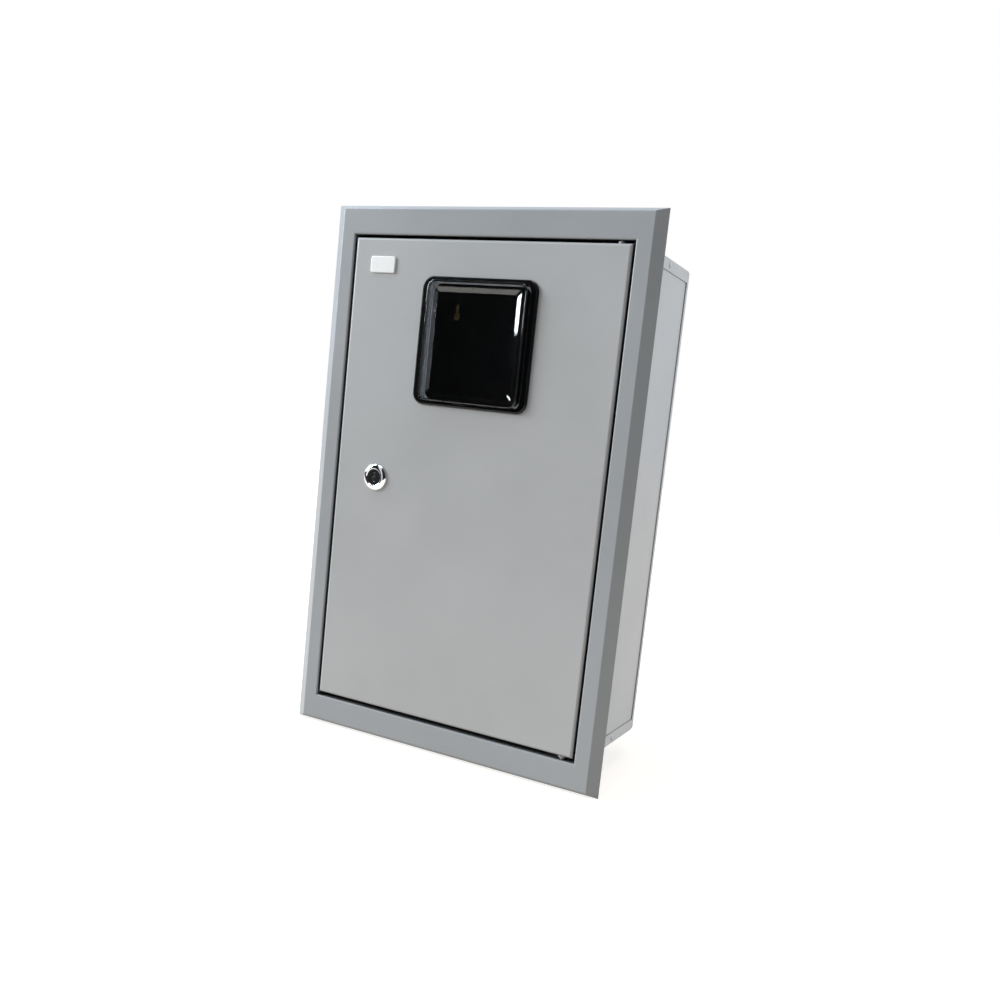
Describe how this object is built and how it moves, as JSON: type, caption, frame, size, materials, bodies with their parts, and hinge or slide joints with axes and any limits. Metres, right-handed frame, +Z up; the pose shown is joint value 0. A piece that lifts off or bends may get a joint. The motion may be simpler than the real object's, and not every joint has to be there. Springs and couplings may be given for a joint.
{
  "type": "recessed electric meter box",
  "caption": "Recessed sheet steel electric meter box with a flared frame, hinged door with window and cam lock, meter plate, rail and terminal bars.",
  "frame": {"origin": "centre of the four wall fixing holes, on the outer face of the back panel", "axes": "+X to the right seen from the front, +Y into the wall, +Z up; the door faces -Y"},
  "size_m": [0.372, 0.166, 0.564],
  "materials": {
    "powder_coat": "light grey semi-gloss powder coat",
    "zinc_steel": "bright zinc plated steel",
    "yellow_zinc": "yellow passivated zinc on folded steel",
    "brass": "drawn brass",
    "chrome": "polished chrome plate",
    "black_rubber": "black moulded rubber",
    "grey_foam": "closed cell foam strip",
    "clear_plastic": "clear moulded polycarbonate",
    "black_board": "black insulating laminate",
    "blue_plastic": "blue moulded insulator",
    "white_plastic": "white moulded plate, blank"
  },
  "bodies": {
    "cabinet": {"front_frame": "powder_coat", "side_wall_left": "powder_coat", "side_wall_right": "powder_coat", "top_cap": "powder_coat", "bottom_cap": "powder_coat", "back_panel": "powder_coat", "breaker_cover": "powder_coat", "cover_tabs": "powder_coat", "body_rivets": "powder_coat", "cable_grommets": "black_rubber", "door_seal": "grey_foam", "lower_hinge_pin": "zinc_steel", "earth_stud": "zinc_steel", "earth_stud_nut": "brass", "upper_cross_rail": "yellow_zinc", "lower_cross_rail": "yellow_zinc", "meter_plate": "black_board", "meter_plate_screws": "zinc_steel", "meter_plate_nuts": "zinc_steel", "din_rail": "zinc_steel", "din_rail_brackets": "yellow_zinc", "din_rail_screws": "zinc_steel", "din_rail_nuts": "zinc_steel", "cover_screws": "zinc_steel", "cover_nuts": "zinc_steel", "neutral_bar": "brass", "neutral_bar_screws": "zinc_steel", "neutral_standoffs": "blue_plastic", "earth_bar": "brass", "earth_bar_screws": "zinc_steel", "earth_spacers": "zinc_steel"},
    "door": {"door_panel": "powder_coat", "door_hinge_plates": "zinc_steel", "upper_hinge_pin": "zinc_steel", "window_gasket": "black_rubber", "window_pane": "clear_plastic", "window_retainer": "zinc_steel", "window_studs": "zinc_steel", "window_nuts": "zinc_steel", "badge_plate": "white_plastic", "lock_housing": "chrome", "lock_nut": "zinc_steel", "door_earth_stud": "zinc_steel", "door_earth_nut": "brass"},
    "lock": {"lock_plug": "chrome", "lock_cam": "zinc_steel", "cam_screw": "zinc_steel"}
  },
  "joints": [
    {"name": "door_hinge", "type": "hinge", "parent": "cabinet", "child": "door", "pos_m": [0.1432, -0.1515, 0], "axis": [0, 0, 1], "range_deg": [0, 120]},
    {"name": "lock_turn", "type": "hinge", "parent": "door", "child": "lock", "pos_m": [-0.106, -0.158, -0.0003], "axis": [0, 1, 0], "range_deg": [0, 90]}
  ]
}
